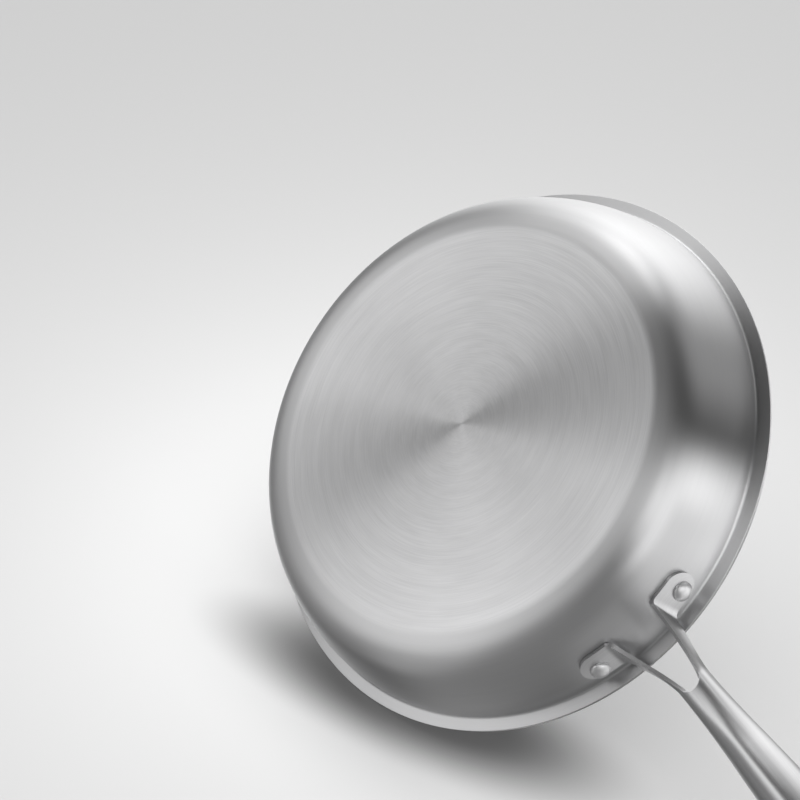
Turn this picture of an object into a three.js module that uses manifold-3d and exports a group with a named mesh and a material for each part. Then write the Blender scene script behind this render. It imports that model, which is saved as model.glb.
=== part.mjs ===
// A clad stainless frying pan: three bonded plies drawn into one bowl, a forked channel handle and two rivets.
// Millimetres, +Z up. The origin is the centre of the underside of the base, and the handle lies along +X.
import * as THREE from "three";
import { mergeVertices } from "three/addons/utils/BufferGeometryUtils.js";
import Module from "manifold-3d";

const wasm = await Module();
wasm.setup();

const { degToRad, lerp, smoothstep } = THREE.MathUtils;

// Bowl, measured on its outer surface.
const rimRadius = 152;
const panDepth = 49.4;
const baseRadius = 116;
const cornerRadius = 18.5;
const wallFootAngle = degToRad(60);
const wallTopAngle = degToRad(85);
const lipReach = 7.2;
const lipAngle = degToRad(9);
const creaseSetback = 1.3;
const rimEasing = 0.4;

// Plies, from the outside in, with the bond line between them.
const shellThickness = 0.5;
const coreThickness = 1.6;
const linerThickness = 0.5;
const bondGap = 0.04;

// Handle: one formed sheet, riveted to the wall by two pads and open along its top.
const handleSheet = 2.1;
const padRadius = 8.7;
const padTail = 12.4;
const padLipGap = 6.3;
const seatGap = 0.2;
const bendSetback = 2.8;
const armRise = degToRad(46.5);
const forkReach = 19.5;
const slotHalfWidth = 6.4;
const neckHalfWidth = 9.1;
const neckDepth = 10.8;
const neckRise = 10.4;
const gripHalfWidth = 13.7;
const gripDepth = 16.5;
const gripStart = 88;
const roundStart = 45;
const channelLength = 184;
const channelRise = 18;
const channelBow = 0.6;
const flatLength = 60;
const tipDepth = 4;
const hangingHoleRadius = 5;
const hangingHoleInset = 16;

// Rivets: a domed head on the pad, a flatter head inside the pan.
const rivetSpacing = 56;
const rivetLift = 2.2;
const shankRadius = 2.5;
const shankClearance = 0.3;
const headRadius = 5.3;
const headHeight = 3.1;
const headGap = 0.3;
const tailRadius = 5.6;
const tailHeight = 1.8;
const tailGap = 0.15;
const headRim = 0.4;

// Facet counts, and how many times longer a hole's cutter is than the depth it goes through.
const bowlSegments = 60;
const rivetSegments = 18;
const holeSegments = 24;
const domeSteps = 4;
const cutterExcess = 6;

// Halvings in the search for a height on the wall, and the distance at which two corners count as one.
const searchSteps = 40;
const weldDistance = 1e-4;

// Outer profile of the bowl: flat base, corner, wall, crease and lip, from the axis to the rim.
const creaseCorner = new THREE.Vector2(rimRadius - lipReach, panDepth - lipReach * Math.tan(lipAngle));
const wallTop = alongSlope(creaseCorner, wallTopAngle, -creaseSetback);
const lipStart = alongSlope(creaseCorner, lipAngle, creaseSetback);
const cornerStart = -Math.PI / 2;
const corner = new THREE.EllipseCurve(
  baseRadius, cornerRadius, cornerRadius, cornerRadius, cornerStart, cornerStart + wallFootAngle,
);
const wallFoot = corner.getPoint(1);
const wallPull = wallFoot.distanceTo(wallTop) / 3;
const wall = new THREE.CubicBezierCurve(
  wallFoot,
  alongSlope(wallFoot, wallFootAngle, wallPull),
  alongSlope(wallTop, wallTopAngle, -wallPull),
  wallTop,
);
const base = new THREE.LineCurve(new THREE.Vector2(0, 0), new THREE.Vector2(baseRadius, 0));
const crease = new THREE.QuadraticBezierCurve(wallTop, creaseCorner, lipStart);
const wallThickness = shellThickness + coreThickness + linerThickness + 2 * bondGap;
const lip = new THREE.LineCurve(lipStart, new THREE.Vector2(rimRadius, panDepth));
const profileSteps = [[base, 1], [corner, 5], [wall, 4], [crease, 2], [lip, 1]];
const rimShares = [0, 0.25, 0.8, 1];

function alongSlope(point, angle, distance) {
  return new THREE.Vector2(point.x + distance * Math.cos(angle), point.y + distance * Math.sin(angle));
}

// A station of the outer profile moved into the wall by a depth.
function inset({ point, tangent }, depth) {
  return new THREE.Vector2(point.x - tangent.y * depth, point.y + tangent.x * depth);
}

function profileStations() {
  const stations = [{ point: base.getPoint(0), tangent: base.getTangent(0) }];
  for (const [curve, steps] of profileSteps) {
    for (let step = 1; step <= steps; step += 1) {
      stations.push({ point: curve.getPoint(step / steps), tangent: curve.getTangent(step / steps) });
    }
  }
  return stations;
}

// The rim is cut square across the plies, and its two edges are eased round.
function rimPoint(station, depth) {
  const short = Math.max(0, rimEasing - Math.min(depth, wallThickness - depth));
  const pullBack = Math.sqrt(rimEasing ** 2 - short ** 2) - rimEasing;
  return inset(station, depth).addScaledVector(station.tangent, pullBack);
}

function plyGeometry(outerDepth, innerDepth) {
  const stations = profileStations();
  const rimStation = stations.pop();
  const outside = stations.map((station) => inset(station, outerDepth));
  const inside = stations.map((station) => inset(station, innerDepth));
  const rim = rimShares.map((share) => rimPoint(rimStation, lerp(outerDepth, innerDepth, share)));
  const profile = [...outside, ...rim, ...inside.reverse()];
  const geometry = new THREE.LatheGeometry(profile, bowlSegments);
  geometry.rotateX(Math.PI / 2);
  return geometry;
}

// The wall's outer surface at a height above the base: radius and outward direction.
function wallAt(height) {
  let low = 0;
  let high = 1;
  for (let step = 0; step < searchSteps; step += 1) {
    const middle = (low + high) / 2;
    if (wall.getPoint(middle).y < height) {
      low = middle;
    } else {
      high = middle;
    }
  }
  const tangent = wall.getTangent(low);
  return { radius: wall.getPoint(low).x, outward: new THREE.Vector2(tangent.y, -tangent.x) };
}

// A point at an angle round the pan, held off the wall's outer surface.
function offWall(angle, height, distance) {
  const { radius, outward } = wallAt(height);
  const reach = radius + outward.x * distance;
  return new THREE.Vector3(reach * Math.cos(angle), reach * Math.sin(angle), height + outward.y * distance);
}

// The pads sit below the crease, and each rivet a little above the middle of its pad.
const padHeight = creaseCorner.y - padLipGap - padRadius;
const padWall = wallAt(padHeight);
const padAngle = Math.asin(rivetSpacing / 2 / padWall.radius);
const rivetHeight = padHeight + rivetLift;
const rivetWall = wallAt(rivetHeight);
const rivetAngle = Math.asin(rivetSpacing / 2 / rivetWall.radius);

// Closed bodies for cutting: vertices shared, triangles without area left out.
function solidOf(geometry) {
  geometry.deleteAttribute("normal");
  geometry.deleteAttribute("uv");
  const welded = mergeVertices(geometry, weldDistance);
  const corners = welded.index.array;
  const triangles = [];
  for (let at = 0; at < corners.length; at += 3) {
    const [a, b, c] = corners.slice(at, at + 3);
    if (a !== b && b !== c && c !== a) {
      triangles.push(a, b, c);
    }
  }
  const vertProperties = new Float32Array(welded.attributes.position.array);
  const triVerts = new Uint32Array(triangles);
  return new wasm.Manifold(new wasm.Mesh({ numProp: 3, vertProperties, triVerts }));
}

function cutGeometry(geometry, cutters) {
  let solid = solidOf(geometry);
  for (const cutter of cutters) {
    solid = solid.subtract(solidOf(cutter));
  }
  const { vertProperties, triVerts } = solid.getMesh();
  const result = new THREE.BufferGeometry();
  result.setAttribute("position", new THREE.BufferAttribute(vertProperties, 3));
  result.setIndex(new THREE.BufferAttribute(triVerts, 1));
  result.computeVertexNormals();
  return result;
}

// Turns a geometry made along +Y onto a rivet's axis, which stands square to the wall.
function ontoRivetAxis(geometry, side) {
  const { outward, radius } = rivetWall;
  const angle = side * rivetAngle;
  const axis = new THREE.Vector3(outward.x * Math.cos(angle), outward.x * Math.sin(angle), outward.y);
  const turn = new THREE.Quaternion().setFromUnitVectors(new THREE.Vector3(0, 1, 0), axis);
  geometry.applyQuaternion(turn);
  geometry.translate(radius * Math.cos(angle), radius * Math.sin(angle), rivetHeight);
  return geometry;
}

function rivetHole(side) {
  const radius = shankRadius + shankClearance;
  const length = cutterExcess * (wallThickness + handleSheet);
  return ontoRivetAxis(new THREE.CylinderGeometry(radius, radius, length, holeSegments), side);
}

const rivetHoles = () => [rivetHole(1), rivetHole(-1)];

// Quarter-ellipse dome from its rim to the axis, standing on a height along the axis.
function domePoints(radius, rimLevel, apexLevel) {
  const points = [];
  for (let step = 0; step <= domeSteps; step += 1) {
    const angle = (step / domeSteps) * (Math.PI / 2);
    points.push(new THREE.Vector2(
      step === domeSteps ? 0 : radius * Math.cos(angle), lerp(rimLevel, apexLevel, Math.sin(angle)),
    ));
  }
  return points;
}

// Levels along a rivet's axis of the surface at a distance off the wall, from below a head's edge to above it.
function levelsUnder(radius, distance) {
  return [-radius, -radius / 2, 0, radius / 2, radius].map((up) => {
    const height = rivetHeight + up * rivetWall.outward.x;
    const { x, z } = offWall(0, height, distance);
    return (x - rivetWall.radius) * rivetWall.outward.x + (z - rivetHeight) * rivetWall.outward.y;
  });
}

// The inside of the pan is hollow, so a tail's edge meets the liner before its middle does, most on a facet.
function rivetGeometry(side) {
  const linerRadius = rivetWall.radius - wallThickness;
  const hollow = linerRadius - Math.sqrt(linerRadius ** 2 - tailRadius ** 2);
  const facetHollow = linerRadius * (1 - Math.cos(Math.PI / bowlSegments));
  const headSeat = Math.max(...levelsUnder(headRadius, seatGap + handleSheet)) + headGap;
  const tailSeat = Math.min(...levelsUnder(tailRadius, -wallThickness)) - hollow - facetHollow - tailGap;
  const profile = [
    ...domePoints(tailRadius, tailSeat - headRim, tailSeat - tailHeight).reverse(),
    new THREE.Vector2(tailRadius, tailSeat),
    new THREE.Vector2(shankRadius, tailSeat),
    new THREE.Vector2(shankRadius, headSeat),
    new THREE.Vector2(headRadius, headSeat),
    ...domePoints(headRadius, headSeat + headRim, headSeat + headHeight),
  ];
  return ontoRivetAxis(new THREE.LatheGeometry(profile, rivetSegments), side);
}

// The handle's outer skin is a grid of rows and columns on its left half, mirrored to the right. Column 0 is the
// middle of the web and the last column is the top edge. Rows of the fork hold only the columns past the slot.
const lastColumn = 8;
const slotColumn = 3;
const padRoundAngles = [80, 55, 28, 0].map(degToRad);
const bendSteps = 3;
const armSteps = 6;
const channelSteps = 15;
const tipAngles = [22, 44, 64, 80].map(degToRad);
const crotchFade = 4;
const crotchX = rimRadius + forkReach;
const neckHeight = panDepth + neckRise;
const neckSlope = Math.atan((channelRise + 4 * channelBow) / channelLength);

// The channel's cross-section is half a superellipse, square at the neck, then deeper and keeled along the grip.
const neckPower = 2 / 3;
const gripPower = 2 / 1.8;
const slotAngle = Math.asin((slotHalfWidth / neckHalfWidth) ** (1 / neckPower));

function columnAngle(column) {
  if (column <= slotColumn) {
    return (slotAngle * column) / slotColumn;
  }
  return lerp(slotAngle, Math.PI / 2, (column - slotColumn) / (lastColumn - slotColumn));
}

function padPoint(along, up) {
  const angle = padAngle + along / padWall.radius;
  return offWall(angle, padHeight + up * padWall.outward.x, seatGap + handleSheet);
}

function padRow(along, halfHeight) {
  const row = [];
  for (let column = slotColumn; column <= lastColumn; column += 1) {
    const share = (column - slotColumn) / (lastColumn - slotColumn);
    row[column] = padPoint(along, lerp(-halfHeight, halfHeight, share));
  }
  return row;
}

// Half-width, depth, height of the top edge and squareness of the channel, at a distance from the crotch.
function channelSection(distance) {
  const share = distance / channelLength;
  const flat = smoothstep(distance, channelLength - flatLength, channelLength - gripHalfWidth);
  const fullDepth = lerp(neckDepth, gripDepth, smoothstep(distance, 0, gripStart));
  return {
    halfWidth: lerp(neckHalfWidth, gripHalfWidth, smoothstep(distance, 0, gripStart)),
    depth: lerp(fullDepth, tipDepth, flat),
    top: neckHeight + channelRise * share + channelBow * 4 * share * (1 - share),
    power: lerp(neckPower, gripPower, smoothstep(distance, 0, roundStart)),
  };
}

function channelRow(distance, narrowing, crotchShare) {
  const { halfWidth, depth, top, power } = channelSection(distance);
  const row = [];
  for (let column = 0; column <= lastColumn; column += 1) {
    const angle = columnAngle(column);
    const y = narrowing * halfWidth * Math.sin(angle) ** power;
    const sag = column === lastColumn ? 0 : narrowing * depth * Math.cos(angle) ** power;
    const hollow = column < slotColumn ? Math.sqrt(Math.max(0, slotHalfWidth ** 2 - y ** 2)) : 0;
    const x = crotchX + distance + crotchShare * hollow;
    row.push(new THREE.Vector3(x, y, top - sag));
  }
  return row;
}

function handleRows() {
  const rows = padRoundAngles.map((angle) => padRow(padRadius * Math.sin(angle), padRadius * Math.cos(angle)));
  const bendStart = padRow(bendSetback - padTail, padRadius);
  const bendCorner = padRow(-padTail, padRadius);
  const neck = channelRow(0, 1, 1);
  rows.push(bendStart);
  const bends = [];
  const arms = [];
  for (let column = slotColumn; column <= lastColumn; column += 1) {
    const from = bendCorner[column];
    const to = neck[column];
    const share = (column - slotColumn) / (lastColumn - slotColumn);
    const plan = new THREE.Vector3(to.x - from.x, to.y - from.y, 0).normalize();
    const leaving = plan.clone().multiplyScalar(Math.cos(armRise)).setZ(Math.sin(armRise));
    const turned = plan.lerp(new THREE.Vector3(1, 0, 0), share).normalize();
    const arriving = turned.multiplyScalar(Math.cos(neckSlope)).setZ(Math.sin(neckSlope));
    const bendEnd = from.clone().addScaledVector(leaving, bendSetback);
    const pull = bendEnd.distanceTo(to) / 3;
    bends[column] = new THREE.QuadraticBezierCurve3(bendStart[column], from, bendEnd);
    arms[column] = new THREE.CubicBezierCurve3(
      bendEnd, bendEnd.clone().addScaledVector(leaving, pull), to.clone().addScaledVector(arriving, -pull), to,
    );
  }
  for (let step = 1; step <= bendSteps; step += 1) {
    rows.push(bends.map((curve) => curve.getPoint(step / bendSteps)));
  }
  for (let step = 1; step < armSteps; step += 1) {
    rows.push(arms.map((curve) => curve.getPoint(step / armSteps)));
  }
  const straight = channelLength - gripHalfWidth;
  for (let step = 0; step <= channelSteps; step += 1) {
    rows.push(channelRow((straight * step) / channelSteps, 1, Math.max(0, 1 - step / crotchFade)));
  }
  for (const angle of tipAngles) {
    rows.push(channelRow(straight + gripHalfWidth * Math.sin(angle), Math.cos(angle), 0));
  }
  return rows;
}

// A grid of skin points thickened inward into one closed sheet. Cells with a missing corner are openings.
function sheetGeometry(grid, thickness) {
  const rowCount = grid.length;
  const columnCount = grid[0].length;
  const cells = [];
  const has = (row, column) => Boolean(grid[row] && grid[row][column] && grid[row][column + 1]
    && grid[row + 1] && grid[row + 1][column] && grid[row + 1][column + 1]);
  const normals = grid.map((row) => Array.from(row, () => new THREE.Vector3()));
  for (let row = 0; row < rowCount - 1; row += 1) {
    for (let column = 0; column < columnCount - 1; column += 1) {
      if (!has(row, column)) {
        continue;
      }
      cells.push([row, column]);
      const across = grid[row + 1][column + 1].clone().sub(grid[row][column]);
      const back = grid[row][column + 1].clone().sub(grid[row + 1][column]);
      const normal = back.cross(across).normalize();
      for (const [r, c] of [[row, column], [row + 1, column], [row, column + 1], [row + 1, column + 1]]) {
        normals[r][c].add(normal);
      }
    }
  }
  const positions = [];
  const numbers = grid.map(() => []);
  for (let row = 0; row < rowCount; row += 1) {
    for (let column = 0; column < columnCount; column += 1) {
      if (normals[row][column] && normals[row][column].lengthSq() > 0) {
        const skin = grid[row][column];
        const inner = skin.clone().addScaledVector(normals[row][column].normalize(), -thickness);
        numbers[row][column] = positions.length / 6;
        positions.push(...skin.toArray(), ...inner.toArray());
      }
    }
  }
  const index = [];
  for (const [row, column] of cells) {
    const ring = [[row, column], [row, column + 1], [row + 1, column + 1], [row + 1, column]]
      .map(([r, c]) => 2 * numbers[r][c]);
    const [a, b, c, d] = ring;
    index.push(a, b, c, a, c, d, c + 1, b + 1, a + 1, d + 1, c + 1, a + 1);
    const beyond = [[row - 1, column], [row, column + 1], [row + 1, column], [row, column - 1]];
    for (let side = 0; side < 4; side += 1) {
      if (!has(...beyond[side])) {
        const p = ring[side];
        const q = ring[(side + 1) % 4];
        index.push(q, p, p + 1, q, p + 1, q + 1);
      }
    }
  }
  const geometry = new THREE.BufferGeometry();
  geometry.setAttribute("position", new THREE.Float32BufferAttribute(positions, 3));
  geometry.setIndex(index);
  return geometry;
}

function handleGeometry() {
  const grid = handleRows().map((row) => {
    const whole = new Array(2 * lastColumn + 1);
    for (let column = 0; column <= lastColumn; column += 1) {
      if (row[column]) {
        whole[lastColumn + column] = row[column];
        whole[lastColumn - column] = row[column].clone().multiply(new THREE.Vector3(1, -1, 1));
      }
    }
    return whole;
  });
  const hangingHole = new THREE.CylinderGeometry(
    hangingHoleRadius, hangingHoleRadius, cutterExcess * gripDepth, holeSegments,
  );
  hangingHole.rotateX(Math.PI / 2);
  hangingHole.translate(crotchX + channelLength - hangingHoleInset, 0, neckHeight + channelRise);
  return cutGeometry(sheetGeometry(grid, handleSheet), [...rivetHoles(), hangingHole]);
}

const brushedSteel = { color: 0xc4c6c8, roughness: 0.34, metalness: 1 };
const satinSteel = { color: 0xb9bbbe, roughness: 0.28, metalness: 1 };
const brightSteel = { color: 0xd3d4d6, roughness: 0.18, metalness: 1 };
const rawAluminium = { color: 0xd8d9da, roughness: 0.5, metalness: 1 };

const coreStart = shellThickness + bondGap;
const linerStart = coreStart + coreThickness + bondGap;
const pieces = [
  ["outer_shell", cutGeometry(plyGeometry(0, shellThickness), rivetHoles()), satinSteel],
  ["aluminium_core", cutGeometry(plyGeometry(coreStart, coreStart + coreThickness), rivetHoles()), rawAluminium],
  ["cooking_liner", cutGeometry(plyGeometry(linerStart, wallThickness), rivetHoles()), brushedSteel],
  ["handle", handleGeometry(), brushedSteel],
  ["rivet_left", rivetGeometry(1), brightSteel],
  ["rivet_right", rivetGeometry(-1), brightSteel],
];

const fryingPan = new THREE.Group();
for (const [name, geometry, finish] of pieces) {
  const mesh = new THREE.Mesh(geometry, new THREE.MeshStandardMaterial(finish));
  mesh.name = name;
  fryingPan.add(mesh);
}

export default fryingPan;
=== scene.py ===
"""A clad stainless frying pan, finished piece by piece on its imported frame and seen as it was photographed."""

import math

import bmesh
import bpy
import numpy as np
from mathutils import Matrix, Vector


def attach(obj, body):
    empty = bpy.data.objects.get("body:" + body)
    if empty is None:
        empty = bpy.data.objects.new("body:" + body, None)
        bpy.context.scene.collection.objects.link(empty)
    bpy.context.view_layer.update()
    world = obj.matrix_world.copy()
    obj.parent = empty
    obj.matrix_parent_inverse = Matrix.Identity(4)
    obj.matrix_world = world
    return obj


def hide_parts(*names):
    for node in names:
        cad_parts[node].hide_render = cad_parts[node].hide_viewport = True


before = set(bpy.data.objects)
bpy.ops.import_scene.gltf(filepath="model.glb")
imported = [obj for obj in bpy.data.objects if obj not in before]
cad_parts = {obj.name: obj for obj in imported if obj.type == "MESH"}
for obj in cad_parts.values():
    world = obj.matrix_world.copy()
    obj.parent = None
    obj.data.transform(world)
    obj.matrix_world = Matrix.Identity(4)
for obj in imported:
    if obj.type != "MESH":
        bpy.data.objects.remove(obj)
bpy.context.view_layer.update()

# Camera: it stands below the pan and looks up at the base through a long lens, so the bowl shows its underside,
# its right-hand wall and the fork of the handle.
camera_stand = Vector((0.6441, -0.1941, -0.8683))
camera_right = Vector((0.4779, -0.6884, 0.5455))
camera_up = Vector((-0.6341, -0.7001, -0.3281))
camera_turn = Matrix((camera_right, camera_up, camera_right.cross(camera_up))).transposed()
camera = bpy.data.objects.new("camera", bpy.data.cameras.new("camera"))
camera.data.lens = 94.5
camera.data.sensor_width = 36.0
camera.matrix_world = Matrix.Translation(camera_stand) @ camera_turn.to_4x4()
bpy.context.collection.objects.link(camera)
bpy.context.scene.camera = camera
bpy.context.scene.view_settings.view_transform = "Standard"


# Outer shell: the outer ply of magnetic stainless steel, one disc drawn into base, corner, wall and pouring lip.
# Its flat base is brushed in circles on a lathe; from the corner on it is polished to a satin, also round the axis.
mm = 0.001
rim_radius = 152 * mm
pan_depth = 49.4 * mm
flat_radius = 110 * mm
turning_radius = 25 * mm
turning_angle = math.radians(10)
corner_fullness = 0.8
wall_foot = np.array([132.02, 9.25]) * mm
wall_foot_angle = math.radians(60)
wall_top_angle = math.radians(85)
lip_reach = 7.2 * mm
lip_angle = math.radians(9)
crease_setback = 1.3 * mm
rim_easing = 0.15 * mm
rim_grinding = 0.045 * mm
shell_thickness = 0.5 * mm
core_thickness = 1.6 * mm
liner_thickness = 0.5 * mm
bond_gap = 0.04 * mm
wall_thickness = shell_thickness + core_thickness + liner_thickness + 2 * bond_gap
flat_steps, turning_steps, corner_steps, wall_steps, crease_steps, lip_steps = 12, 10, 36, 28, 10, 4
wall_steps_in_corner = 8
rim_points = 11
bowl_segments = 240


def along_slope(point, angle, distance):
    """The point of the half-section that lies at a distance up a slope from another."""
    return point + distance * np.array([math.cos(angle), math.sin(angle)])


def bezier(controls, steps):
    """Points and unit tangents along a Bezier curve, leaving out its first point."""
    share = np.linspace(0, 1, steps + 1)[1:, None]
    level = [np.repeat(control[None], steps, axis=0) for control in controls]
    while len(level) > 2:
        level = [a + (b - a) * share for a, b in zip(level, level[1:])]
    tangents = level[1] - level[0]
    tangents /= np.linalg.norm(tangents, axis=1, keepdims=True)
    return level[0] + (level[1] - level[0]) * share, tangents


crease_corner = np.array([rim_radius - lip_reach, pan_depth - lip_reach * math.tan(lip_angle)])
wall_top = along_slope(crease_corner, wall_top_angle, -crease_setback)
lip_start = along_slope(crease_corner, lip_angle, crease_setback)
lip_end = np.array([rim_radius, pan_depth])
lip_slope = along_slope(np.zeros(2), lip_angle, 1.0)
wall_pull = np.linalg.norm(wall_top - wall_foot) / 3
wall_controls = [
    wall_foot,
    along_slope(wall_foot, wall_foot_angle, wall_pull),
    along_slope(wall_top, wall_top_angle, -wall_pull),
    wall_top,
]
wall, wall_slopes = bezier(wall_controls, wall_steps)
flat_edge = np.array([flat_radius, 0.0])
turning_corner = along_slope(flat_edge, 0, turning_radius * math.tan(turning_angle / 2))
turning_end = along_slope(flat_edge, turning_angle / 2, 2 * turning_radius * math.sin(turning_angle / 2))
turning_slope = along_slope(np.zeros(2), turning_angle, 1.0)
corner_end, corner_slope = wall[wall_steps_in_corner - 1], wall_slopes[wall_steps_in_corner - 1]
end_slopes = np.column_stack([turning_slope, corner_slope])
leave, arrive = np.linalg.solve(end_slopes, corner_end - turning_end) * corner_fullness / 2
corner_controls = [
    turning_end,
    turning_end + leave * turning_slope,
    turning_end + 2 * leave * turning_slope,
    corner_end - 2 * arrive * corner_slope,
    corner_end - arrive * corner_slope,
    corner_end,
]
profile_stretches = [
    bezier([np.zeros(2), flat_edge], flat_steps),
    bezier([flat_edge, turning_corner, turning_end], turning_steps),
    bezier(corner_controls, corner_steps),
    (wall[wall_steps_in_corner:], wall_slopes[wall_steps_in_corner:]),
    bezier([wall_top, crease_corner, lip_start], crease_steps),
    bezier([lip_start, lip_end - lip_slope * 2 * rim_easing], lip_steps),
]
profile_points = np.vstack([np.zeros((1, 2)), *[points for points, _ in profile_stretches]])
profile_tangents = np.vstack([np.array([[1.0, 0.0]]), *[tangents for _, tangents in profile_stretches]])


def ply_profile(outer_depth, inner_depth):
    """Closed half-section of one ply, from the axis out to the cut rim with its eased edges and back to the axis."""
    inward = np.column_stack([-profile_tangents[:, 1], profile_tangents[:, 0]])
    depths = np.linspace(outer_depth, inner_depth, rim_points)[:, None]
    short = np.maximum(0, rim_easing - np.minimum(depths, wall_thickness - depths))
    pull_back = rim_easing - np.sqrt(rim_easing**2 - short**2) + rim_grinding
    rim = lip_end + depths * inward[-1] - pull_back * lip_slope
    return np.vstack([profile_points + outer_depth * inward, rim, (profile_points + inner_depth * inward)[::-1]])


def revolve(name, profile, segments):
    """A closed body turned round the Z axis from a half-section that starts and ends on the axis."""
    angles = np.linspace(0, 2 * math.pi, segments, endpoint=False)
    rings = profile[1:-1]
    around = np.column_stack([np.cos(angles), np.sin(angles)])
    heights = np.broadcast_to(rings[:, None, 1:], (len(rings), segments, 1))
    points = np.concatenate([rings[:, None, :1] * around[None], heights], axis=2).reshape(-1, 3)
    first, last = len(points), len(points) + 1
    vertices = [*points.tolist(), [0, 0, profile[0, 1]], [0, 0, profile[-1, 1]]]
    faces = []
    for column in range(segments):
        beside = (column + 1) % segments
        faces.append((first, beside, column))
        for ring in range(len(rings) - 1):
            low, high = ring * segments, (ring + 1) * segments
            faces.append((low + column, low + beside, high + beside, high + column))
        end = (len(rings) - 1) * segments
        faces.append((end + column, end + beside, last))
    mesh = bpy.data.meshes.new(name)
    mesh.from_pydata(vertices, [], faces)
    mesh.shade_smooth()
    piece = bpy.data.objects.new(name, mesh)
    bpy.context.collection.objects.link(piece)
    return piece


def place(tree, kind, inputs=None, **settings):
    """A node of one kind, with its settings, and its inputs either set or linked."""
    node = tree.nodes.new(kind)
    for setting, value in settings.items():
        setattr(node, setting, value)
    for socket, value in (inputs or {}).items():
        if isinstance(value, bpy.types.NodeSocket):
            tree.links.new(value, node.inputs[socket])
        else:
            node.inputs[socket].default_value = value
    return node


def reckon(tree, operation, *terms):
    """The result of a Math node, where each term is a number or a socket."""
    return place(tree, "ShaderNodeMath", dict(enumerate(terms)), operation=operation).outputs[0]


def blend(tree, share, start, end):
    """The value that lies a share of the way from one to another, each a number or a socket."""
    return place(tree, "ShaderNodeMix", {0: share, 2: start, 3: end}, data_type="FLOAT").outputs[0]


def effect(name, takes, gives):
    """An empty shader node group with named inputs and outputs; returns its tree and its two ends' sockets."""
    tree = bpy.data.node_groups.new(name, "ShaderNodeTree")
    for socket, kind in takes.items():
        tree.interface.new_socket(socket, in_out="INPUT", socket_type=kind)
    for socket, kind in gives.items():
        tree.interface.new_socket(socket, in_out="OUTPUT", socket_type=kind)
    return tree, tree.nodes.new("NodeGroupInput").outputs, tree.nodes.new("NodeGroupOutput").inputs


# Lathe marks: where a point of a turned piece lies across the marks, in millimetres, and round the axis, how far it
# has left the flat for the wall, and a scale on its tone that rises from the flat's middle to its edge and is even on
# the wall.
middle_tone_scale, edge_tone_scale, wall_tone_scale = 0.84, 1.13, 1.0
satin_start, satin_end = flat_radius - 1 * mm, flat_radius + 4 * mm
lathe_place, taken, given = effect(
    "lathe_place",
    {"Position": "NodeSocketVector", "Streaks": "NodeSocketFloat"},
    {"Across": "NodeSocketFloat", "Along": "NodeSocketVector", "Wall": "NodeSocketFloat", "Tone Scale": "NodeSocketFloat"},
)
flattened = place(
    lathe_place, "ShaderNodeVectorMath", {0: taken["Position"], 1: (1, 1, 0)}, operation="MULTIPLY"
).outputs[0]
height = place(lathe_place, "ShaderNodeSeparateXYZ", {0: taken["Position"]}).outputs["Z"]
radius = place(lathe_place, "ShaderNodeVectorMath", {0: flattened}, operation="LENGTH").outputs["Value"]
across = reckon(lathe_place, "MULTIPLY", reckon(lathe_place, "ADD", radius, height), 1 / mm)
direction = place(lathe_place, "ShaderNodeVectorMath", {0: flattened}, operation="NORMALIZE").outputs[0]
around = place(lathe_place, "ShaderNodeVectorMath", {0: direction, "Scale": taken["Streaks"]}, operation="SCALE")
leaving_flat = place(
    lathe_place,
    "ShaderNodeMapRange",
    {"Value": radius, "From Min": satin_start, "From Max": satin_end},
    interpolation_type="SMOOTHSTEP",
).outputs[0]
flat_tone_scale = place(
    lathe_place,
    "ShaderNodeMapRange",
    {"Value": radius, "From Max": flat_radius, "To Min": middle_tone_scale, "To Max": edge_tone_scale},
).outputs[0]
lathe_place.links.new(across, given["Across"])
lathe_place.links.new(around.outputs[0], given["Along"])
lathe_place.links.new(leaving_flat, given["Wall"])
lathe_place.links.new(blend(lathe_place, leaving_flat, flat_tone_scale, wall_tone_scale), given["Tone Scale"])

# Brushing: fine scratches that start and stop, and the broader light and dark bands that they gather into.
# Each has its density, as a share of the lines' own, and its contrast, where less is stronger.
brushing, taken, given = effect(
    "brushing",
    {"Across": "NodeSocketFloat", "Along": "NodeSocketVector", "Lines per mm": "NodeSocketFloat"},
    {"Lines": "NodeSocketFloat", "Bands": "NodeSocketFloat"},
)
for socket, density_share, contrast in (("Lines", 1.0, 0.13), ("Bands", 0.14, 0.16)):
    density = reckon(brushing, "MULTIPLY", taken["Lines per mm"], density_share)
    pitch = reckon(brushing, "MULTIPLY", taken["Across"], density)
    crossing = place(brushing, "ShaderNodeCombineXYZ", {"Z": pitch}).outputs[0]
    at = place(brushing, "ShaderNodeVectorMath", {0: taken["Along"], 1: crossing}, operation="ADD").outputs[0]
    noise = place(brushing, "ShaderNodeTexNoise", {"Vector": at, "Scale": 1.0, "Detail": 2.0, "Roughness": 0.6})
    clear = place(
        brushing,
        "ShaderNodeMapRange",
        {"Value": noise.outputs[0], "From Min": 0.5 - contrast, "From Max": 0.5 + contrast},
    )
    brushing.links.new(clear.outputs[0], given[socket])

# Handling: the soft cloudy patches that wiping and fingers leave on bare steel.
handling, taken, given = effect(
    "handling", {"Position": "NodeSocketVector", "Patches per m": "NodeSocketFloat"}, {"Smudge": "NodeSocketFloat"}
)
cloud = place(
    handling,
    "ShaderNodeTexNoise",
    {
        "Vector": taken["Position"],
        "Scale": taken["Patches per m"],
        "Detail": 4.0,
        "Roughness": 0.55,
        "Distortion": 0.4,
    },
)
soft = place(
    handling,
    "ShaderNodeMapRange",
    {"Value": cloud.outputs[0], "From Min": 0.35, "From Max": 0.7},
    interpolation_type="SMOOTHSTEP",
)
handling.links.new(soft.outputs[0], given["Smudge"])

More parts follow.
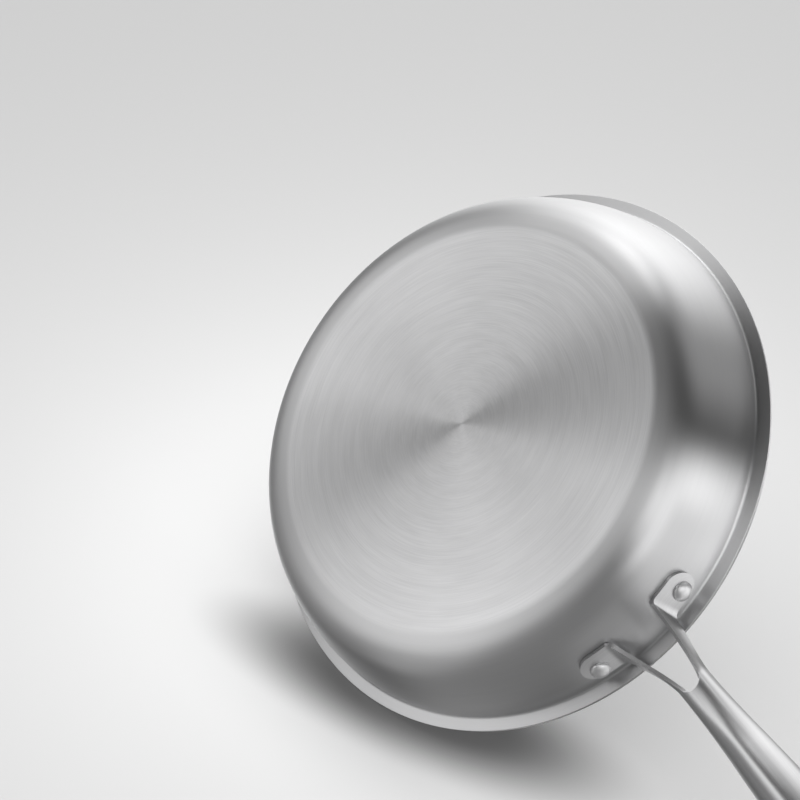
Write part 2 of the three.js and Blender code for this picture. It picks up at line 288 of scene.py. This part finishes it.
# Bare steel: how much of a mark is bands, how far the wall's marks fade to an even tone, how much a smudge dulls,
# how the scratches stand up, and the quarter turn that lays the shader's stretched gloss across the brushing.
steel_blueness = 0.005
patches_per_m = 16.0
band_share = 0.45
wall_fading, even_mark = 0.8, 0.5
smudge_dulling = 0.02
scratch_strength, scratch_height = 0.1, 0.05 * mm
gloss_turn = 0.25


def grey(tone):
    """The faintly cool grey of bare steel."""
    return (tone, tone, tone + steel_blueness, 1)


def steel(
    name, light, dark, roughness, grain, anisotropy, lines_per_mm, streaks, wall_roughness=None, lengthwise=False
):
    """Brushed steel: round the pan's axis, with a satin wall past the flat, or along a piece's length by its UV map."""
    material = bpy.data.materials.new(name)
    material.use_nodes = True
    tree = material.node_tree
    shader = tree.nodes["Principled BSDF"]
    position = place(tree, "ShaderNodeTexCoord").outputs["Object"]
    if lengthwise:
        lay = place(tree, "ShaderNodeUVMap", uv_map="lengthwise").outputs[0]
        split = place(tree, "ShaderNodeSeparateXYZ", {0: lay}).outputs
        across = split["Y"]
        along = place(tree, "ShaderNodeCombineXYZ", {"X": reckon(tree, "MULTIPLY", split["X"], streaks)}).outputs[0]
        tangent = place(tree, "ShaderNodeTangent", direction_type="UV_MAP", uv_map="lengthwise")
    else:
        lathe = place(
            tree, "ShaderNodeGroup", {"Position": position, "Streaks": streaks}, node_tree=lathe_place
        ).outputs
        across, along = lathe["Across"], lathe["Along"]
        tangent = place(tree, "ShaderNodeTangent", direction_type="RADIAL", axis="Z")
    brush = place(
        tree,
        "ShaderNodeGroup",
        {"Across": across, "Along": along, "Lines per mm": lines_per_mm},
        node_tree=brushing,
    ).outputs
    wiped = place(
        tree, "ShaderNodeGroup", {"Position": position, "Patches per m": patches_per_m}, node_tree=handling
    ).outputs
    mark = blend(tree, band_share, brush["Lines"], brush["Bands"])
    worn = reckon(tree, "MULTIPLY_ADD", brush["Lines"], grain, roughness - grain / 2)
    if wall_roughness is not None:
        mark = blend(tree, reckon(tree, "MULTIPLY", lathe["Wall"], wall_fading), mark, even_mark)
        worn = blend(tree, lathe["Wall"], worn, wall_roughness)
    tone = place(tree, "ShaderNodeMix", {0: mark, 6: grey(dark), 7: grey(light)}, data_type="RGBA").outputs[2]
    # The tone is scaled up from the flat's middle to its edge, and left as it is on the wall.
    if wall_roughness is not None:
        tone = place(tree, "ShaderNodeVectorMath", {0: tone, "Scale": lathe["Tone Scale"]}, operation="SCALE").outputs[0]
    dulled = reckon(tree, "MULTIPLY_ADD", wiped["Smudge"], smudge_dulling, worn)
    scratch = place(
        tree, "ShaderNodeBump", {"Strength": scratch_strength, "Distance": scratch_height, "Height": mark}
    )
    shader.inputs["Metallic"].default_value = 1.0
    shader.inputs["Anisotropic"].default_value = anisotropy
    shader.inputs["Anisotropic Rotation"].default_value = gloss_turn
    tree.links.new(tone, shader.inputs["Base Color"])
    tree.links.new(dulled, shader.inputs["Roughness"])
    tree.links.new(scratch.outputs[0], shader.inputs["Normal"])
    tree.links.new(tangent.outputs[0], shader.inputs["Tangent"])
    return material


outer_shell = revolve("outer_shell_drawn", ply_profile(0, shell_thickness), bowl_segments)
outer_shell.data.materials.append(
    steel(
        "circle_brushed_shell",
        light=0.71,
        dark=0.61,
        roughness=0.33,
        grain=0.05,
        anisotropy=0.89,
        lines_per_mm=2.2,
        streaks=2.6,
        wall_roughness=0.32,
    )
)
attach(outer_shell, "root")
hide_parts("outer_shell")


# Aluminium core: the thick middle ply that spreads the heat, bonded between the two steels from base to rim.
# It shows only as a dull pale line round the cut rim.
core_start = shell_thickness + bond_gap
core_end = core_start + core_thickness
aluminium_core = revolve("aluminium_core_ply", ply_profile(core_start, core_end), bowl_segments)
aluminium_core.data.materials.append(
    steel(
        "ground_aluminium",
        light=0.80,
        dark=0.70,
        roughness=0.42,
        grain=0.08,
        anisotropy=0.3,
        lines_per_mm=4.0,
        streaks=6.0,
    )
)
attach(aluminium_core, "root")
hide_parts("aluminium_core")


# Cooking liner: the inner ply of stainless steel, pressed with the others and brushed round on its floor.
# Its wall and lip are satin, and food and wiping have left it a little cloudy.
cooking_liner = revolve("cooking_liner_ply", ply_profile(core_end + bond_gap, wall_thickness), bowl_segments)
cooking_liner.data.materials.append(
    steel(
        "circle_brushed_liner",
        light=0.72,
        dark=0.60,
        roughness=0.34,
        grain=0.07,
        anisotropy=0.78,
        lines_per_mm=1.6,
        streaks=3.2,
        wall_roughness=0.28,
    )
)
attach(cooking_liner, "root")
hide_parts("cooking_liner")


# Handle: one stainless sheet, forked and pressed into an open channel, so its side walls run on as two arms that
# turn outward into round-ended pads. It is brushed along its length, and its cut edges are rounded and tumbled.
handle_sheet = 2.1 * mm
pad_radius = 8.7 * mm
pad_tail = 12.4 * mm
pad_lip_gap = 6.3 * mm
seat_gap = 0.2 * mm
low_bend_setback, high_bend_setback = 2.6 * mm, 5 * mm
arm_rise = math.radians(46.5)
fork_reach = 19.5 * mm
slot_half_width = 6.4 * mm
crotch_fade = 45 * mm
neck_half_width = 9.1 * mm
neck_depth = 10.8 * mm
neck_rise = 10.4 * mm
grip_half_width = 13.7 * mm
grip_depth = 16.5 * mm
grip_start = 88 * mm
round_start = 45 * mm
channel_length = 184 * mm
channel_rise = 18 * mm
channel_bow = 0.6 * mm
flat_length = 60 * mm
tip_depth = 4 * mm
tip_turn = math.radians(80)
tip_clearance = 0.02 * mm
hanging_hole_radius = 5 * mm
hanging_hole_inset = 16 * mm
edge_rounding = 0.55 * mm
sharp_edge = math.radians(50)
rivet_spacing = 56 * mm
neck_power, grip_power = 2 / 3, 2 / 1.8
crotch_x = rim_radius + fork_reach
neck_height = pan_depth + neck_rise
neck_slope = math.atan((channel_rise + 4 * channel_bow) / channel_length)
slot_columns, side_columns = 10, 16
pad_end_degrees = 86
pad_end_rows, pad_tail_rows, bend_rows, arm_rows, channel_rows, tip_rows = 14, 8, 12, 28, 150, 16
fine_wall_steps = 400
wall_points, wall_tangents = bezier(wall_controls, fine_wall_steps)


def wall_at(height):
    """Radius of the wall's outer surface at a height above the base, and its outward direction."""
    radius = np.interp(height, wall_points[:, 1], wall_points[:, 0])
    tangent = [np.interp(height, wall_points[:, 1], wall_tangents[:, axis]) for axis in (0, 1)]
    return radius, np.array([tangent[1], -tangent[0]])


def off_wall(angle, height, distance):
    """The point that stands a distance off the wall, at an angle round the pan and a height up the wall."""
    radius, outward = wall_at(height)
    reach = radius + outward[0] * distance
    return np.array([reach * math.cos(angle), reach * math.sin(angle), height + outward[1] * distance])


def smoothstep(value, low, high):
    """A soft step from 0 to 1 as a value goes from low to high."""
    share = min(1.0, max(0.0, (value - low) / (high - low)))
    return share * share * (3 - 2 * share)


pad_height = crease_corner[1] - pad_lip_gap - pad_radius
pad_wall_radius, pad_outward = wall_at(pad_height)
pad_angle = math.asin(rivet_spacing / 2 / pad_wall_radius)
pad_skin = seat_gap + handle_sheet
side_shares = np.linspace(0, 1, side_columns + 1)
slot_angle = math.asin((slot_half_width / neck_half_width) ** (1 / neck_power))
column_angles = np.concatenate(
    [np.linspace(0, slot_angle, slot_columns, endpoint=False), slot_angle + side_shares * (math.pi / 2 - slot_angle)]
)


def pad_row(along, half_height):
    """Points up one row of a pad, held off the wall, at a distance, or one for each, along it from the pad's middle."""
    angles = pad_angle + (along + 0 * side_shares) / pad_wall_radius
    heights = pad_height + (2 * side_shares - 1) * half_height * pad_outward[0]
    return np.array([off_wall(angle, height, pad_skin) for angle, height in zip(angles, heights)])


def channel_size(distance):
    """Half-width, depth, height of the top edges and squareness of the channel, at a distance from the crotch."""
    share = distance / channel_length
    grip = smoothstep(distance, 0, grip_start)
    flat = smoothstep(distance, channel_length - flat_length, channel_length - grip_half_width)
    half_width = neck_half_width + (grip_half_width - neck_half_width) * grip
    depth = neck_depth + (grip_depth - neck_depth) * grip
    depth += (tip_depth - depth) * flat
    top = neck_height + channel_rise * share + channel_bow * 4 * share * (1 - share)
    return half_width, depth, top, neck_power + (grip_power - neck_power) * smoothstep(distance, 0, round_start)


def channel_row(distance, narrowing, crotch_share):
    """Points across one row of the channel, drawn in by the rounding of the tip and hollowed round the crotch."""
    half_width, depth, top, power = channel_size(distance)
    across = narrowing * half_width * np.sin(column_angles) ** power
    sag = narrowing * depth * np.maximum(np.cos(column_angles), 0) ** power
    hollow = np.sqrt(np.maximum(0, slot_half_width**2 - across**2))
    hollow[slot_columns:] = 0
    return np.column_stack([crotch_x + distance + crotch_share * hollow, across, top - sag])


pad_turns = np.radians(np.linspace(pad_end_degrees, 0, pad_end_rows))
pad_grid = [pad_row(pad_radius * math.sin(angle), pad_radius * math.cos(angle)) for angle in pad_turns]
bend_setbacks = low_bend_setback + (high_bend_setback - low_bend_setback) * side_shares
tail_shares = np.linspace(0, 1, pad_tail_rows + 1)[1:]
pad_grid += [pad_row(share * (bend_setbacks - pad_tail), pad_radius) for share in tail_shares]
bend_corner = pad_row(-pad_tail, pad_radius)
neck_row = channel_row(0, 1, 1)[slot_columns:]
arm_columns = []
for start, corner, neck, share, setback in zip(pad_grid[-1], bend_corner, neck_row, side_shares, bend_setbacks):
    plan = (neck - corner) * np.array([1, 1, 0])
    plan /= np.linalg.norm(plan)
    leaving = plan * math.cos(arm_rise) + np.array([0, 0, math.sin(arm_rise)])
    heading = plan + (np.array([1.0, 0, 0]) - plan) * share
    arriving = heading / np.linalg.norm(heading) * math.cos(neck_slope) + np.array([0, 0, math.sin(neck_slope)])
    bend_end = corner + setback * leaving
    pull = np.linalg.norm(neck - bend_end) / 3
    bend, _ = bezier([start, corner, bend_end], bend_rows)
    arm, _ = bezier([bend_end, bend_end + pull * leaving, neck - pull * arriving, neck], arm_rows)
    arm_columns.append(np.vstack([bend, arm[:-1]]))
fork_grid = [*pad_grid, *np.array(arm_columns).transpose(1, 0, 2)]
straight = channel_length - grip_half_width
channel_grid = [
    channel_row(distance, 1, max(0.0, 1 - distance / crotch_fade))
    for distance in np.linspace(0, straight, channel_rows)
]
tip_angles = np.linspace(0, tip_turn, tip_rows + 1)[1:]
tip_reach = grip_half_width - tip_clearance
channel_grid += [channel_row(straight + tip_reach * math.sin(angle), math.cos(angle), 0) for angle in tip_angles]
web_gap = np.full((slot_columns, 3), np.nan)
half_grid = np.array([*[np.vstack([web_gap, row]) for row in fork_grid], *channel_grid])
skin_grid = np.concatenate([half_grid[:, :0:-1] * np.array([1, -1, 1]), half_grid], axis=1)


def skin_mesh(grid):
    """A sheet's outer skin from a grid of points; cells with a missing corner stay open. The UV map is in mm."""
    rows, columns = grid.shape[:2]
    there = np.isfinite(grid[..., 0])
    steps_along = np.nan_to_num(np.linalg.norm(np.diff(grid, axis=0), axis=2))
    steps_across = np.nan_to_num(np.linalg.norm(np.diff(grid, axis=1), axis=2))
    middle = columns // 2
    along = np.concatenate([[0], np.cumsum(steps_along[:, -1])]) / mm
    across = np.concatenate([np.zeros((rows, 1)), np.cumsum(steps_across, axis=1)], axis=1) / mm
    across -= across[:, middle : middle + 1]
    built = bmesh.new()
    measure = built.loops.layers.uv.new("lengthwise")
    corners = {(r, c): built.verts.new(grid[r, c]) for r in range(rows) for c in range(columns) if there[r, c]}
    for r in range(rows - 1):
        for c in range(columns - 1):
            ring = [(r, c), (r, c + 1), (r + 1, c + 1), (r + 1, c)]
            if all(at in corners for at in ring):
                face = built.faces.new([corners[at] for at in ring])
                face.smooth = True
                for loop, (row, column) in zip(face.loops, ring):
                    loop[measure].uv = (along[row], across[row, column])
    return built


def punch(built, x, y, radius, height_at):
    """Opens a round hole through a skin and brings the skin's edge onto its circle."""
    centre = Vector((x, y))
    inside = [vertex for vertex in built.verts if (vertex.co.xy - centre).length < radius]
    edge = {vertex for gone in inside for face in gone.link_faces for vertex in face.verts} - set(inside)
    bmesh.ops.delete(built, geom=inside, context="VERTS")
    for vertex in edge:
        onto = centre + (vertex.co.xy - centre).normalized() * radius
        vertex.co = (onto.x, onto.y, height_at(onto.x, onto.y))


def web_height(x, y):
    """Height of the channel's outer skin above a point of the plan."""
    half_width, depth, top, power = channel_size(x - crotch_x)
    return top - depth * (1 - (abs(y) / half_width) ** (2 / power)) ** (power / 2)


handle_skin = skin_mesh(skin_grid)
punch(handle_skin, crotch_x + channel_length - hanging_hole_inset, 0, hanging_hole_radius, web_height)
handle_mesh = bpy.data.meshes.new("handle_pressed")
handle_skin.to_mesh(handle_mesh)
handle_skin.free()
handle = bpy.data.objects.new("handle_pressed", handle_mesh)
bpy.context.collection.objects.link(handle)
handle_mesh.materials.append(
    steel(
        "length_brushed_handle",
        light=0.71,
        dark=0.61,
        roughness=0.32,
        grain=0.06,
        anisotropy=0.45,
        lines_per_mm=3.2,
        streaks=0.02,
        lengthwise=True,
    )
)
handle_mesh.materials.append(
    steel(
        "tumbled_edge",
        light=0.58,
        dark=0.50,
        roughness=0.40,
        grain=0.06,
        anisotropy=0.0,
        lines_per_mm=3.0,
        streaks=9.0,
    )
)
sheet = handle.modifiers.new("sheet", "SOLIDIFY")
sheet.thickness = handle_sheet
sheet.offset = -1
sheet.use_even_offset = True
sheet.material_offset_rim = 1
rounding = handle.modifiers.new("rounded_edges", "BEVEL")
rounding.width = edge_rounding
rounding.segments = 3
rounding.limit_method = "ANGLE"
rounding.angle_limit = sharp_edge
rounding.harden_normals = True
rounding.material = 1
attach(handle, "root")
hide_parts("handle")


# Rivets: two solid stainless rivets, pressed through pad and wall. The domed head lies on the pad, and the flatter
# tail is pressed down inside the pan. Both ends are left bright.
rivet_lift = 2.2 * mm
head_radius = 5.3 * mm
head_height = 3.1 * mm
head_gap = 0.3 * mm
tail_radius = 5.6 * mm
tail_height = 1.8 * mm
head_rim = 0.4 * mm
seat_sink = 0.15 * mm
shank_radius = 2.5 * mm
dome_points = 14
rivet_segments = 64
rivet_height = pad_height + rivet_lift
rivet_wall_radius, rivet_outward = wall_at(rivet_height)
rivet_angle = math.asin(rivet_spacing / 2 / rivet_wall_radius)
quarter = np.linspace(0, math.pi / 2, dome_points)
head_top = pad_skin + head_gap + head_height
head_dome = np.column_stack(
    [head_radius * np.cos(quarter), pad_skin + head_rim + (head_top - pad_skin - head_rim) * np.sin(quarter)]
)
tail_dome = np.column_stack(
    [tail_radius * np.cos(quarter), -wall_thickness - head_rim - (tail_height - head_rim) * np.sin(quarter)]
)
tail_dome[-1, 0] = head_dome[-1, 0] = 0
rivet_profile = np.vstack(
    [
        tail_dome[::-1],
        [[tail_radius, -wall_thickness + seat_sink], [shank_radius, -wall_thickness + seat_sink]],
        [[shank_radius, pad_skin - seat_sink], [head_radius, pad_skin - seat_sink]],
        head_dome,
    ]
)
rivet_steel = steel(
    "bright_rivet",
    light=0.86,
    dark=0.80,
    roughness=0.42,
    grain=0.06,
    anisotropy=0.0,
    lines_per_mm=3.0,
    streaks=9.0,
)
for side, node in ((1, "rivet_left"), (-1, "rivet_right")):
    rivet = revolve(node + "_set", rivet_profile, rivet_segments)
    angle = side * rivet_angle
    axis = Vector((rivet_outward[0] * math.cos(angle), rivet_outward[0] * math.sin(angle), rivet_outward[1]))
    foot = Vector((rivet_wall_radius * math.cos(angle), rivet_wall_radius * math.sin(angle), rivet_height))
    rivet.data.transform(Matrix.Translation(foot) @ axis.to_track_quat("Z", "Y").to_matrix().to_4x4())
    rivet.data.materials.append(rivet_steel)
    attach(rivet, "root")
    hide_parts(node)


# Stage: a pale floor under the standing pan, and the pale ground that the tipped pan leans on in the photograph.
# Each shows only from its own side and only to the camera, so that the steel mirrors the studio and not the floor.
# Both sheets carry painted light in their colour: a painted pool of light fading out from the centre, and a painted
# oval shadow.
paper_reach = 40.0
painted_pool_radius = 0.21
painted_pool_tone, painted_far_tone = 0.85, 0.413
painted_shadow_tone = 0.249
painted_shadow_core = 0.33


def ground(name, pool_centre, along, out, shade_at, shade_size, shade_turn):
    """A wide sheet of paper with a painted pool of light, brightest at its centre, and a painted oval shadow where the
    pan comes down.
    """
    mesh = bpy.data.meshes.new(name)
    corners = [(x * paper_reach, y * paper_reach, 0) for x, y in ((-1, -1), (1, -1), (1, 1), (-1, 1))]
    mesh.from_pydata(corners, [], [(0, 1, 2, 3)])
    plane = bpy.data.objects.new(name, mesh)
    lie = Matrix((along, out, along.cross(out))).transposed()
    plane.matrix_world = Matrix.Translation(pool_centre) @ lie.to_4x4()
    bpy.context.collection.objects.link(plane)
    plane.visible_glossy = plane.visible_diffuse = plane.visible_shadow = False
    material = bpy.data.materials.new(name)
    material.use_nodes = True
    tree = material.node_tree
    paper = tree.nodes["Principled BSDF"]
    paper.inputs["Roughness"].default_value = 0.9
    paper.inputs["Specular IOR Level"].default_value = 0.0
    position = place(tree, "ShaderNodeTexCoord").outputs["Object"]
    away = place(tree, "ShaderNodeVectorMath", {0: position}, operation="LENGTH").outputs["Value"]
    # Painted pool of light: the tone falls from the pool tone at the sheet's centre towards the far tone.
    share = reckon(tree, "DIVIDE", away, painted_pool_radius)
    spread = reckon(tree, "MULTIPLY_ADD", share, share, 1.0)
    lit = reckon(tree, "ADD", reckon(tree, "DIVIDE", painted_pool_tone - painted_far_tone, spread), painted_far_tone)
    # Painted shadow: an oval with a given place, size and turn, where the tone darkens towards its core.
    oval = place(
        tree,
        "ShaderNodeMapping",
        {"Vector": position, "Location": (*shade_at, 0), "Rotation": (0, 0, shade_turn), "Scale": (*shade_size, 1)},
        vector_type="TEXTURE",
    )
    off_painted_shadow = place(tree, "ShaderNodeVectorMath", {0: oval.outputs[0]}, operation="LENGTH").outputs["Value"]
    shade = place(
        tree,
        "ShaderNodeMapRange",
        {"Value": off_painted_shadow, "From Min": painted_shadow_core, "From Max": 1.0, "To Min": painted_shadow_tone, "To Max": 1.0},
        interpolation_type="SMOOTHSTEP",
    )
    tree.links.new(reckon(tree, "MULTIPLY", lit, shade.outputs[0]), paper.inputs["Base Color"])
    side = place(tree, "ShaderNodeNewGeometry").outputs["Backfacing"]
    clear = place(tree, "ShaderNodeBsdfTransparent").outputs[0]
    shown = place(tree, "ShaderNodeMixShader", {0: side, 1: paper.outputs[0], 2: clear})
    tree.links.new(shown.outputs[0], tree.nodes["Material Output"].inputs["Surface"])
    mesh.materials.append(material)


# The standing floor has a painted round shadow of 0.14 m radius, centred under the pan.
floor_drop = 0.8 * mm
floor_painted_shadow_size = (0.14, 0.14)
ground("standing_floor", Vector((0, 0, -floor_drop)), Vector((1, 0, 0)), Vector((0, 1, 0)), (0, 0), floor_painted_shadow_size, 0)
lean_angle = math.radians(79.3)
lean_tilt = math.radians(44.1)
lean_clearance = 1.5 * mm
lean_side = Vector((math.cos(lean_angle), math.sin(lean_angle), 0))
lean_along = Vector((-lean_side.y, lean_side.x, 0))
lean_out = lean_side * math.cos(lean_tilt) - Vector((0, 0, math.sin(lean_tilt)))
lean_facing = -(lean_side * math.sin(lean_tilt) + Vector((0, 0, math.cos(lean_tilt))))
lean_foot = rim_radius * lean_side + Vector((0, 0, pan_depth + wall_thickness + lean_clearance))
# On the leaning ground the painted pool of light is centred here, and its painted oval shadow has this place, size and
# turn.
pool_along, pool_out = 0.0557, -0.1042
shade_along, shade_out = -0.033, -0.0193
ground(
    "photo_ground",
    lean_foot + pool_along * lean_along + pool_out * lean_out,
    lean_along,
    lean_out,
    shade_at=(shade_along - pool_along, shade_out - pool_out),
    shade_size=(0.1544, 0.0492),
    shade_turn=math.radians(-159.1),
)


def key_light(name, stands_at, size, power):
    """A round lamp that points at the pan, lights the paper and isn't mirrored in the steel."""
    lamp = bpy.data.objects.new(name, bpy.data.lights.new(name, "AREA"))
    lamp.data.shape = "DISK"
    lamp.data.size = size
    lamp.data.energy = power
    lamp.location = stands_at
    lamp.rotation_euler = (-stands_at).to_track_quat("-Z", "Y").to_euler()
    lamp.visible_glossy = False
    lamp.visible_camera = False
    bpy.context.collection.objects.link(lamp)


shadow_turn = math.radians(18.1)
shadow_lean = math.radians(7.4)
key_distance = 3.3
shadow_way = lean_out * math.cos(shadow_turn) - lean_along * math.sin(shadow_turn)
key_way = lean_facing * math.cos(shadow_lean) - shadow_way * math.sin(shadow_lean)
key_light("key_below", key_way * key_distance, size=5.35, power=87.5)
key_light("key_above", Vector((-0.9, -1.4, 2.9)), size=2.0, power=60)

# Studio: soft boxes round the pan, as the satin steel mirrors them. Each is a direction, the angles in degrees from it
# where the box is full and where it has faded out, and its brightness.
softboxes = {
    "front_right": ((-0.76, -0.62, 0.18), 16, 51, 1.31),
    "right_bottom": ((-0.58, -0.52, -0.62), 3, 17, 2.58),
    "handle_right_high": ((0.63, -0.46, 0.63), 9, 23, 1.20),
    "handle_right": ((0.74, -0.66, 0.14), 3, 17, 2.39),
    "front_low": ((-0.77, 0.18, -0.62), 4, 18, 1.43),
    "handle_left_wide": ((0.71, 0.67, -0.24), 48, 63, 0.20),
    "front_bottom": ((-0.31, 0.15, -0.94), 3, 17, 0.52),
    "front_high": ((-0.64, 0.22, 0.74), 3, 47, 1.10),
    "left_wide": ((-0.40, 0.82, -0.41), 34, 48, 0.19),
    "handle_left_high": ((0.74, 0.11, 0.66), 17, 31, 0.50),
    "front_left": ((-0.69, 0.48, 0.54), 3, 17, 0.60),
    "left_bottom": ((-0.38, 0.40, -0.83), 10, 24, 0.98),
    "right_wide": ((-0.31, -0.95, 0.07), 30, 54, 0.36),
    "left_high": ((0.03, 0.67, 0.74), 7, 21, 0.39),
    "handle_end": ((0.93, -0.24, 0.29), 10, 24, 0.87),
    "bottom": ((0.27, -0.23, -0.93), 3, 17, 2.29),
    "handle_right_low": ((0.78, -0.41, -0.48), 15, 29, 1.43),
    "front_right_low": ((-0.77, -0.32, -0.54), 3, 17, 1.41),
    "beside_arms": ((0.00, -0.45, 0.89), 5, 20, 1.80),
}
ambient = 0.03
paper_ambient = 0.941
backdrop = 0.8
softbox, taken, given = effect(
    "softbox",
    {
        "Direction": "NodeSocketVector",
        "Towards": "NodeSocketVector",
        "Full": "NodeSocketFloat",
        "Faded": "NodeSocketFloat",
        "Brightness": "NodeSocketFloat",
    },
    {"Light": "NodeSocketFloat"},
)
facing = place(softbox, "ShaderNodeVectorMath", {0: taken["Direction"], 1: taken["Towards"]}, operation="DOT_PRODUCT")
fade = place(
    softbox,
    "ShaderNodeMapRange",
    {
        "Value": reckon(softbox, "ARCCOSINE", facing.outputs["Value"]),
        "From Min": taken["Full"],
        "From Max": taken["Faded"],
        "To Min": taken["Brightness"],
        "To Max": 0.0,
    },
    interpolation_type="SMOOTHSTEP",
)
softbox.links.new(fade.outputs[0], given["Light"])
world = bpy.data.worlds.new("studio")
bpy.context.scene.world = world
world.use_nodes = True
studio = world.node_tree
toward = place(studio, "ShaderNodeTexCoord").outputs["Generated"]
light = ambient
for name, (aim, full, faded, brightness) in softboxes.items():
    box = place(
        studio,
        "ShaderNodeGroup",
        {
            "Direction": toward,
            "Towards": Vector(aim).normalized(),
            "Full": math.radians(full),
            "Faded": math.radians(faded),
            "Brightness": brightness,
        },
        node_tree=softbox,
        name=name,
    )
    light = reckon(studio, "ADD", light, box.outputs[0])
path = place(studio, "ShaderNodeLightPath").outputs
on_paper = blend(studio, path["Is Diffuse Ray"], light, paper_ambient)
seen = blend(studio, path["Is Camera Ray"], on_paper, backdrop)
studio.links.new(seen, studio.nodes["Background"].inputs["Strength"])
studio.nodes["Background"].inputs["Color"].default_value = (1, 1, 1, 1)
